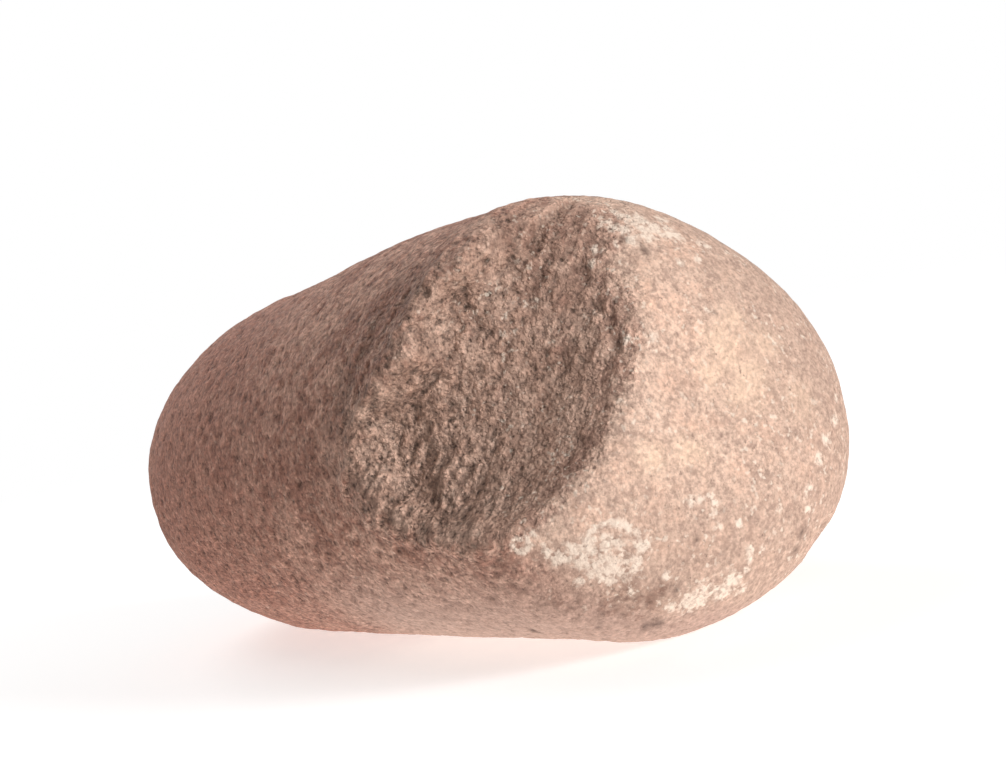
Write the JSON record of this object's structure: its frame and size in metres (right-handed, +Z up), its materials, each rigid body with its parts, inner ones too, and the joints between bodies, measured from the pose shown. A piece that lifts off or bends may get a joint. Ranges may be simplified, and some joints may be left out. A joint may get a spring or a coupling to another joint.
{
  "type": "stone pestle",
  "caption": "Hand-held stone pestle: a tapered rounded cobble with a pale, slanted, worn grinding face and a deep rough spall broken off the edge of that face.",
  "frame": {"origin": "under the middle of the pestle's bounding box, on the surface it lies on", "axes": "+X along the pestle towards its grinding face, +Z up with the pestle lying on its flattest side, -Y towards the side with the spall"},
  "size_m": [0.1446, 0.072, 0.0681],
  "materials": {
    "stone": "matt fine-grained brown stone, pecked and worn; a pale ground working face with light mineral crust, and a coarse broken spall"
  },
  "bodies": {
    "root": {"pestle_stone": "stone"}
  },
  "joints": []
}
